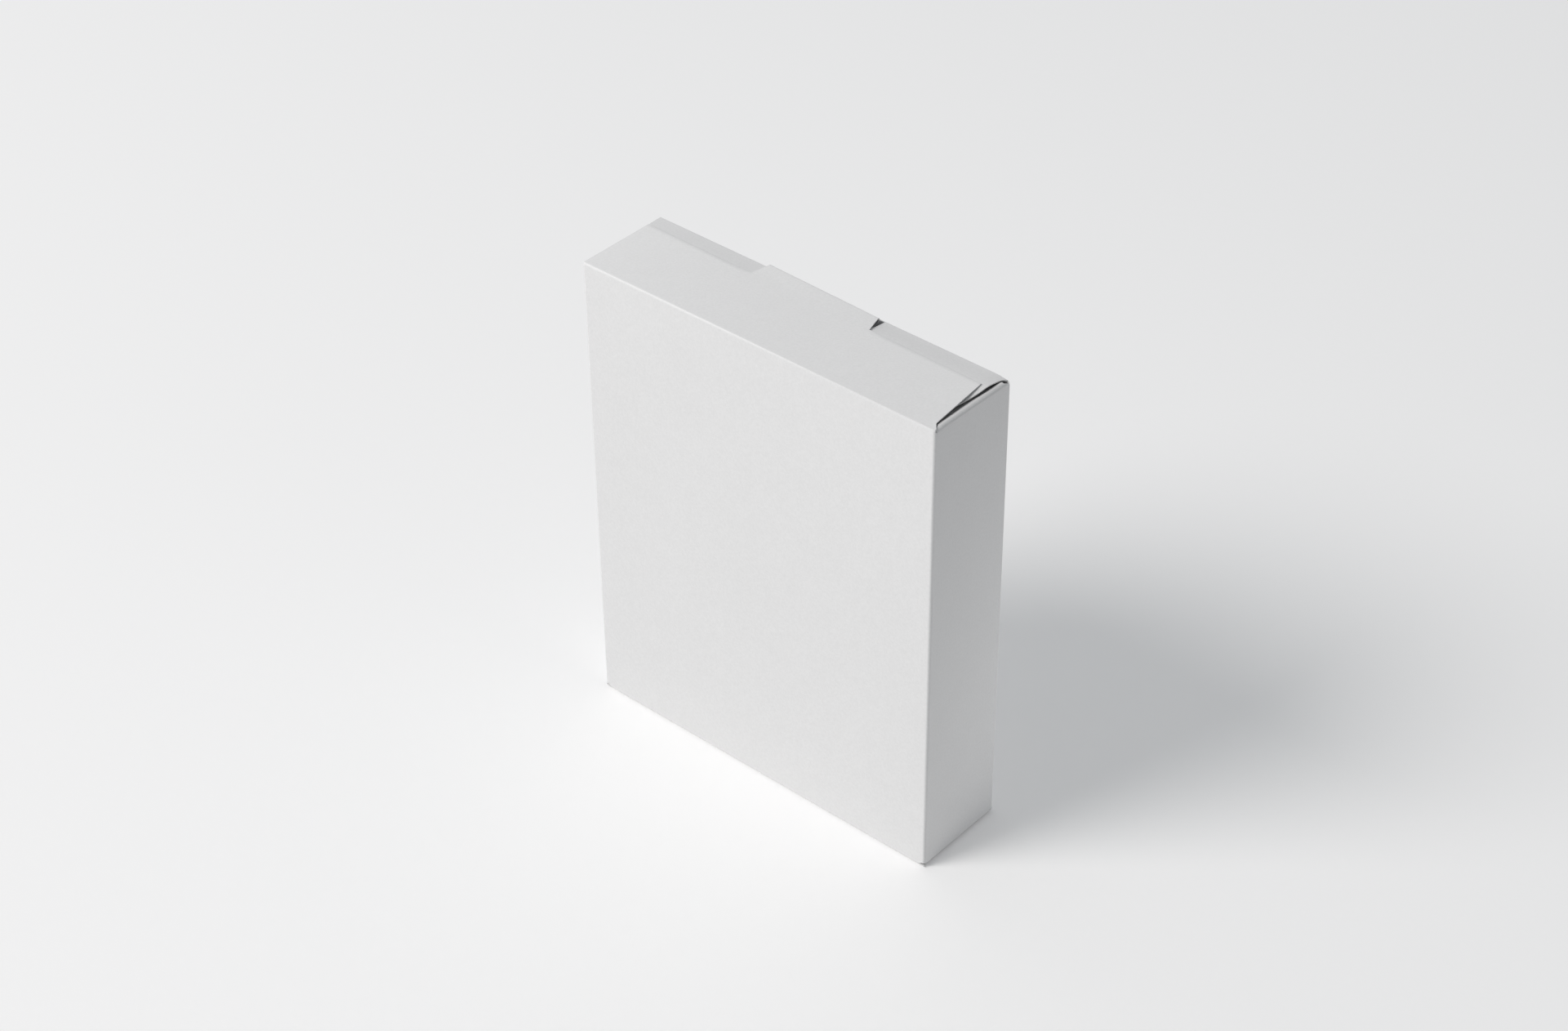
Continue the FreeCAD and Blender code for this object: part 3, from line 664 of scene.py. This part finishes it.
def rear_sheet():
    """The flap under the lid, with two ears cut from its folded edge beside the tongue."""
    sheet = Sheet()

    def strip(depths, first, last, count, sink=0.0):
        """Faces between two edges; sink is how far the strip is pressed down at the slit."""
        outer, inner = [], []
        for y in depths:
            z, slope = rear_height(y)
            z -= sink * smooth((y - EAR_END) / (2 * (SLIT_FRONT - EAR_END))) * 2
            back = min(max((y - RIDGE_Y) / (REAR_ROOT - RIDGE_Y), 0.0), 1.0)
            row = []
            for share in graded(0, 1, count):
                x = mix(along_edge(first, y), along_edge(last, y), share)
                sag = rear_sink(x) * mix(RIDGE_SINK, 1, smooth(back)) + rear_droop(x) * back ** 2
                row.append(Vector((x, y, z - sag)))
            outer.append(row)
            inner.append([place - Vector((0, math.sin(slope), math.cos(slope))) * BOARD for place in row])
        sheet.patch(outer, inner)

    corners = {y for edge in (RIGHT_EDGE, LEFT_EDGE) for y, x in edge}
    front = sorted({y for y in corners if y < EAR_END} | set(steps(REAR_FREE, EAR_END, TAIL_ROWS)))
    even = set(steps(EAR_END, STRIP_FRONT, RIDGE_ROWS)) | set(steps(STRIP_FRONT, REAR_ROOT, STRIP_ROWS))
    rear = sorted({y for y in corners if y > EAR_END} | even)
    ear_left = ((REAR_FREE, NOTCH_LEFT[0][1]), (EAR_END, NOTCH_LEFT[0][1]))
    ear_right = ((REAR_FREE, NOTCH_RIGHT[0][1]), (EAR_END, NOTCH_RIGHT[0][1]))
    strip(front, LEFT_EDGE, ear_left, SIDE_COLUMNS)
    strip(front, ear_left, ear_right, MIDDLE_COLUMNS)
    strip(front, ear_right, RIGHT_EDGE, SIDE_COLUMNS)
    strip(rear, LEFT_EDGE, NOTCH_LEFT, SIDE_COLUMNS)
    strip(rear, NOTCH_RIGHT, RIGHT_EDGE, SIDE_COLUMNS)
    middle = [y for y in rear if y < SLIT_FRONT] + [SLIT_FRONT]
    strip(middle, MIDDLE_LEFT, MIDDLE_RIGHT, MIDDLE_COLUMNS, MIDDLE_SINK)
    # Painted shade over the whole flap.
    for corner in sheet.mesh.verts:
        corner[sheet.painted_shade] = REAR_SHADE
    return sheet.finish("rear_flap_sheet")


# Rows of faces on a dust flap's bow, on its straight part and round its end, and columns across it.
BOW_ROWS, FLAT_ROWS, END_ROWS, DUST_COLUMNS = 10, 5, 10, 12


def dust_end(share):
    """Rear end of a dust flap's fold, which narrows over its turn from the wall to the flap."""
    return mix(HALF_D - CORNER_R, DUST_REAR, smooth(DUST_TAPER * share))


def dust_sheet(name, side, centre):
    """A dust flap that bows down and slopes inwards; side is 1 at the right and -1 at the left."""
    sag = math.radians(DUST_SLOPE)
    normal = Vector((-side * math.sin(sag), 0, math.cos(sag)))
    inward = Vector((-side * math.cos(sag), 0, -math.sin(sag)))
    root = Vector((side * centre[0], 0, centre[1])) + normal * SIDE_FOLD_R
    straight_end = DUST_LENGTH - DUST_CORNER
    runs = steps(0, DUST_BOW_RUN, BOW_ROWS)
    runs += steps(DUST_BOW_RUN, straight_end, FLAT_ROWS)[1:]
    runs += graded(straight_end, DUST_LENGTH, END_ROWS)[1:]
    sheet = Sheet()
    outer, inner = [], []
    for along in runs:
        over = max(0.0, along - straight_end)
        cut = DUST_CORNER - math.sqrt(max(0.0, DUST_CORNER ** 2 - over ** 2))
        front = DUST_FRONT + along * math.tan(math.radians(DUST_FRONT_SLANT)) + cut
        rear = DUST_REAR - along * math.tan(math.radians(DUST_REAR_SLANT)) - cut
        spot = root + inward * along - normal * (DUST_BOW * smooth(along / DUST_BOW_RUN))
        row = [spot + Vector((0, y, -DUST_TILT * y)) for y in steps(front, rear, DUST_COLUMNS)]
        outer.append(row)
        inner.append([place - normal * BOARD for place in row])
    sheet.patch(outer, inner)
    # Painted shade on the flap, strongest at the fold and fading inwards.
    for along, row in zip(runs, outer):
        for place in row:
            sheet.point(place)[sheet.painted_shade] = DUST_SHADE * (1 - smooth(along / DUST_SHADE_RUN))
    return sheet.finish(f"{name}_sheet")


# Board: the sizes of its cloudy formation and slow drift in millimetres and their part of the grain, the
# middle range of noise that is used, how far gloss varies with the fibre, and a Mix node's sockets.
CLOUD_SIZE, DRIFT_SIZE, SLOW_PART = 9.0, 70.0, 5
NOISE_LOW, NOISE_HIGH, NOISE_ROUGHNESS = 0.25, 0.75, 0.6
GLOSS_SPREAD = 0.06
SPECULAR_LEVEL = 0.5
MIX_SHARE, MIX_FIRST, MIX_SECOND, MIX_RESULT = 0, 6, 7, 2


def material(name, colour, roughness, grain, fibre, bump, stretch=(1, 1, 1)):
    """Board with paper fibre: fine grain, cloudy formation and a slow drift of tone, darkened by painted
    shade where a piece asks for it.
    """
    made = bpy.data.materials.new(name)
    made.use_nodes = True
    nodes, links = made.node_tree.nodes, made.node_tree.links
    shader = nodes["Principled BSDF"]
    shader.inputs["Specular IOR Level"].default_value = SPECULAR_LEVEL
    place = nodes.new("ShaderNodeTexCoord")
    scale = nodes.new("ShaderNodeMapping")
    scale.inputs["Scale"].default_value = stretch
    links.new(place.outputs["Object"], scale.inputs["Vector"])

    def noise(size, detail):
        texture = nodes.new("ShaderNodeTexNoise")
        texture.inputs["Scale"].default_value = 1 / (size * MM)
        texture.inputs["Detail"].default_value = detail
        texture.inputs["Roughness"].default_value = NOISE_ROUGHNESS
        links.new(scale.outputs["Vector"], texture.inputs["Vector"])
        return texture.outputs["Fac"]

    def ranged(value, low, high):
        spread = nodes.new("ShaderNodeMapRange")
        spread.inputs["From Min"].default_value = NOISE_LOW
        spread.inputs["From Max"].default_value = NOISE_HIGH
        spread.inputs["To Min"].default_value = low
        spread.inputs["To Max"].default_value = high
        links.new(value, spread.inputs["Value"])
        return spread.outputs["Result"]

    def combined(first, second, operation):
        node = nodes.new("ShaderNodeMath")
        node.operation = operation
        links.new(first, node.inputs[0])
        links.new(second, node.inputs[1])
        return node.outputs["Value"]

    fine = noise(fibre, detail=4)
    cloud = noise(CLOUD_SIZE, detail=3)
    drift = noise(DRIFT_SIZE, detail=2)
    slow = grain / SLOW_PART
    tone = combined(ranged(fine, 1 - grain, 1 + grain), ranged(cloud, 1 - slow, 1 + slow), "MULTIPLY")
    tone = combined(tone, ranged(drift, 1 - slow, 1 + slow), "MULTIPLY")
    tint = nodes.new("ShaderNodeMix")
    tint.data_type = "RGBA"
    tint.blend_type = "MULTIPLY"
    tint.inputs[MIX_SHARE].default_value = 1.0
    tint.inputs[MIX_FIRST].default_value = (*colour, 1)
    links.new(tone, tint.inputs[MIX_SECOND])
    # Painted shade: the attribute that the pieces set mixes the board's colour towards black.
    shade_amount = nodes.new("ShaderNodeAttribute")
    shade_amount.attribute_name = "painted_shade"
    shaded = nodes.new("ShaderNodeMix")
    shaded.data_type = "RGBA"
    shaded.inputs[MIX_SECOND].default_value = (0, 0, 0, 1)
    links.new(shade_amount.outputs["Fac"], shaded.inputs[MIX_SHARE])
    links.new(tint.outputs[MIX_RESULT], shaded.inputs[MIX_FIRST])
    links.new(shaded.outputs[MIX_RESULT], shader.inputs["Base Color"])
    gloss = ranged(fine, roughness - GLOSS_SPREAD, roughness + GLOSS_SPREAD)
    links.new(gloss, shader.inputs["Roughness"])
    relief = nodes.new("ShaderNodeBump")
    relief.inputs["Strength"].default_value = 1.0
    relief.inputs["Distance"].default_value = bump * MM
    links.new(fine, relief.inputs["Height"])
    links.new(relief.outputs["Normal"], shader.inputs["Normal"])
    return made


coated = material("coated_board", (0.795, 0.795, 0.795), roughness=0.47, grain=0.04, fibre=1.0,
                  bump=0.006, stretch=(1, 1, 0.85))
uncoated = material("uncoated_board", (0.74, 0.735, 0.715), roughness=0.85, grain=0.03, fibre=0.9,
                    bump=0.02, stretch=(1, 1, 0.4))
# The cut edge's dark grey is partly the board's grey core and partly painted shade for edges that lie in
# shade.
grey_and_shaded_edge = material("grey_and_shaded_board_edge", (0.22, 0.218, 0.213), roughness=0.9, grain=0.06, fibre=0.25,
                    bump=0.02)
dried_glue = material("dried_glue", (0.78, 0.74, 0.62), roughness=0.35, grain=0.04, fibre=2.0, bump=0.03)
BOARD_LOOKS = (coated, uncoated, grey_and_shaded_edge)


def dress(piece):
    """Gives a piece the looks of the board's outside, inside and cut edges."""
    piece.data.materials.clear()
    for look in BOARD_LOOKS:
        piece.data.materials.append(look)


def add(piece, body, *nodes):
    """Puts a piece on a body, in place of its nodes."""
    dress(piece)
    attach(piece, body)
    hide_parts(*nodes)


def bend(piece, bodies, start, end, *nodes):
    """Puts a fold in place of its nodes, fixed where it was built; bodies, start and end are not used."""
    dress(piece)
    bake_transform(piece)
    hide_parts(*nodes)


add(wall_wrap(), "carton", "front_panel", "back_panel", "left_side_panel", "right_side_panel",
    "front_left_corner_crease", "front_right_corner_crease", "rear_right_corner_crease",
    "seam_crease", "seam_flap")

bend(fold("lid_fold", "X", (LID_FOLD_Y, LID_FOLD_Z), FOLD_R, 180, -90 + math.degrees(LID_TILT),
          always(LID_LEFT), always(LID_RIGHT), lid_tightness, lid_lip, corner_inset),
     ("carton", "front_flap"), (0, -HALF_D, LID_FOLD_Z), (0, LID_FRONT, LID_BASE), "front_flap_crease")
add(lid(), "front_flap", "front_flap")

tongue_middle, tongue_angle = tongue_section(0.5)
tongue_begin = tongue_middle + ray(tongue_angle) * TONGUE_R
tongue_end = tongue_middle + ray(-TUCK_LEAN) * TONGUE_R
bend(tongue_fold(), ("front_flap", "tongue"), (0, *tongue_begin), (0, *tongue_end), "tongue_crease")
add(tongue_tuck(), "tongue", "tongue")

# The rear folds carry the same painted shade as the rear flap.
for side, low, high in (("left", REAR_LEFT, SLIT_LEFT), ("right", SLIT_RIGHT, REAR_END)):
    bend(fold(f"rear_fold_{side}", "X", (REAR_FOLD_Y, REAR_FOLD_Z), REAR_FOLD_R, 0,
              90 - math.degrees(STRIP_SLOPE), always(low), always(high),
              sink=lambda x: rear_sink(x) + rear_droop(x), painted_shade=REAR_SHADE),
         ("carton", "rear_flap"), (0, HALF_D, REAR_FOLD_Z), (0, REAR_ROOT, REAR_ROOT_Z),
         f"rear_flap_{side}_crease")
add(rear_sheet(), "rear_flap", "rear_flap")

for side, sign, panel in (("left", -1, LEFT_HIGH), ("right", 1, RIGHT_HIGH)):
    name = f"{side}_dust_flap"
    middle = (HALF_W - SIDE_FOLD_R, panel.z)
    turn = 90 + DUST_SLOPE
    begin = 0 if sign > 0 else 180
    end_angle = math.radians(begin + sign * turn)
    # The dust folds carry painted shade towards their inner side.
    bend(fold(f"{name}_fold", "Y", (sign * middle[0], middle[1]), SIDE_FOLD_R, begin, sign * turn,
              always(CORNER_R - HALF_D), dust_end, sink=dust_sink, painted_shade=DUST_SHADE),
         ("carton", name), (sign * HALF_W, 0, panel.z),
         (sign * middle[0] + SIDE_FOLD_R * math.cos(end_angle), 0,
          middle[1] + SIDE_FOLD_R * math.sin(end_angle)), f"{name}_crease")
    add(dust_sheet(name, sign, middle), name, name)

for name, node in frame["nodes"].items():
    if node.hide_render:
        continue
    node.data.materials.clear()
    node.data.materials.append(dried_glue if name.endswith("glue") else coated)


def seen(tree):
    """A value of 1 where the view itself, a reflection or a clear surface shows this look."""
    path = tree.nodes.new("ShaderNodeLightPath")
    value = path.outputs["Is Camera Ray"]
    for kind in ("Is Glossy Ray", "Is Transmission Ray"):
        either = tree.nodes.new("ShaderNodeMath")
        either.operation = "MAXIMUM"
        tree.links.new(value, either.inputs[0])
        tree.links.new(path.outputs[kind], either.inputs[1])
        value = either.outputs["Value"]
    return value


# Floor and world: the floor's half width and its drop below the carton in metres, how much brighter than
# lit it shows, the pale tone of floor and backdrop, and ambient light that is stronger from the left.
FLOOR_REACH, FLOOR_DROP, FLOOR_LIFT = 6.0, 0.0002, 0.15
PALE = (0.86, 0.86, 0.86, 1)
AMBIENT_COLOUR = (0.374, 0.386, 0.399, 1)
AMBIENT_SLANT = 0.6
floor_corners = [(x * FLOOR_REACH, y * FLOOR_REACH, 0) for x, y in ((-1, -1), (1, -1), (1, 1), (-1, 1))]
floor_mesh = bpy.data.meshes.new("floor")
floor_mesh.from_pydata(floor_corners, [], [(0, 1, 2, 3)])
floor = bpy.data.objects.new("floor", floor_mesh)
floor.location.z = -FLOOR_DROP
bpy.context.scene.collection.objects.link(floor)
floor_look = bpy.data.materials.new("pale_floor")
floor_look.use_nodes = True
floor_shader = floor_look.node_tree.nodes["Principled BSDF"]
floor_shader.inputs["Base Color"].default_value = PALE
floor_shader.inputs["Roughness"].default_value = 0.9
floor_shader.inputs["Specular IOR Level"].default_value = 0.0
floor_shader.inputs["Emission Color"].default_value = (1, 1, 1, 1)
lift = floor_look.node_tree.nodes.new("ShaderNodeMath")
lift.operation = "MULTIPLY"
lift.inputs[1].default_value = FLOOR_LIFT
floor_look.node_tree.links.new(seen(floor_look.node_tree), lift.inputs[0])
floor_look.node_tree.links.new(lift.outputs["Value"], floor_shader.inputs["Emission Strength"])
floor_mesh.materials.append(floor_look)

world = bpy.data.worlds.new("studio")
bpy.context.scene.world = world
world.use_nodes = True
world_nodes, world_links = world.node_tree.nodes, world.node_tree.links
ambient = world_nodes["Background"]
ambient.inputs["Color"].default_value = AMBIENT_COLOUR
direction = world_nodes.new("ShaderNodeTexCoord")
split = world_nodes.new("ShaderNodeSeparateXYZ")
world_links.new(direction.outputs["Generated"], split.inputs["Vector"])
slant = world_nodes.new("ShaderNodeMath")
slant.operation = "MULTIPLY_ADD"
slant.inputs[1].default_value = -AMBIENT_SLANT
slant.inputs[2].default_value = 1.0
world_links.new(split.outputs["X"], slant.inputs[0])
world_links.new(slant.outputs["Value"], ambient.inputs["Strength"])
backdrop = world_nodes.new("ShaderNodeBackground")
backdrop.inputs["Color"].default_value = PALE
chosen = world_nodes.new("ShaderNodeMixShader")
world_links.new(seen(world.node_tree), chosen.inputs["Fac"])
world_links.new(ambient.outputs["Background"], chosen.inputs[1])
world_links.new(backdrop.outputs["Background"], chosen.inputs[2])
world_links.new(chosen.outputs["Shader"], world_nodes["World Output"].inputs["Surface"])


def area_light(name, place, aim, size, power, colour=(1, 1, 1)):
    """A round lamp at a place, turned to what it lights; metres and watts."""
    data = bpy.data.lights.new(name, "AREA")
    data.shape = "DISK"
    data.size = size
    data.energy = power
    data.color = colour
    light = bpy.data.objects.new(name, data)
    light.location = place
    light.rotation_euler = (Vector(place) - Vector(aim)).to_track_quat("Z", "Y").to_euler()
    bpy.context.scene.collection.objects.link(light)
    return light


# A large soft key from the front left, and two weak fills that light the carton alone.
CARTON_MIDDLE = Vector((0, 0, 0.12))
KEY_TURN, KEY_RISE, KEY_DISTANCE, KEY_SIZE, KEY_POWER = 30.7, 42.7, 6.0, 2.97, 226.0
KEY_COLOUR = (1, 0.976, 0.956)
SIDE_PLACE, SIDE_AIM, SIDE_POWER = (0.22, 0.15, 0.05), (0.1, 0, 0.07), 0.085
ROOF_PLACE, ROOF_AIM, ROOF_POWER = (-0.22, 0, 0.33), (-0.06, 0, 0.245), 0.026
FILL_SIZE = 0.1
turn, rise = math.radians(KEY_TURN), math.radians(KEY_RISE)
towards = Vector((-math.cos(rise) * math.sin(turn), -math.cos(rise) * math.cos(turn), math.sin(rise)))
key_place = CARTON_MIDDLE + towards * KEY_DISTANCE
area_light("key", key_place, CARTON_MIDDLE, KEY_SIZE, KEY_POWER, KEY_COLOUR)
side_fill = area_light("side_fill", SIDE_PLACE, SIDE_AIM, FILL_SIZE, SIDE_POWER)
roof_fill = area_light("roof_fill", ROOF_PLACE, ROOF_AIM, FILL_SIZE, ROOF_POWER)
carton_only = bpy.data.collections.new("carton_only")
for piece in bpy.context.scene.objects:
    if piece.type == "MESH" and piece is not floor:
        carton_only.objects.link(piece)
for fill in (side_fill, roof_fill):
    fill.light_linking.receiver_collection = carton_only
    fill.visible_camera = False
    fill.visible_glossy = False

# Camera fitted to the carton's corners in the photograph: angles in degrees, lengths in metres, lens
# and sensor in millimetres.
CAMERA_TURN, CAMERA_RISE, CAMERA_ROLL = 41.237, 37.06, -0.619
CAMERA_DISTANCE, CAMERA_SIDE, CAMERA_LIFT = 1.403627, -0.003841, 0.012651
CAMERA_LENS, CAMERA_SENSOR = 70.8408, 36.0
AIM = Vector((0, 0, 0.1225))
turn, rise, roll = (math.radians(angle) for angle in (CAMERA_TURN, CAMERA_RISE, CAMERA_ROLL))
back = Vector((math.sin(turn) * math.cos(rise), -math.cos(turn) * math.cos(rise), math.sin(rise)))
right = Vector((math.cos(turn), math.sin(turn), 0))
up = back.cross(right)
camera_data = bpy.data.cameras.new("camera")
camera_data.lens = CAMERA_LENS
camera_data.sensor_fit = "HORIZONTAL"
camera_data.sensor_width = CAMERA_SENSOR
camera = bpy.data.objects.new("camera", camera_data)
across = right * math.cos(roll) + up * math.sin(roll)
upright = up * math.cos(roll) - right * math.sin(roll)
turned = Matrix((across, upright, back)).transposed().to_4x4()
camera.matrix_world = Matrix.Translation(
    AIM + back * CAMERA_DISTANCE + right * CAMERA_SIDE + up * CAMERA_LIFT) @ turned
bpy.context.scene.collection.objects.link(camera)
bpy.context.scene.camera = camera
bpy.context.scene.view_settings.view_transform = "Standard"
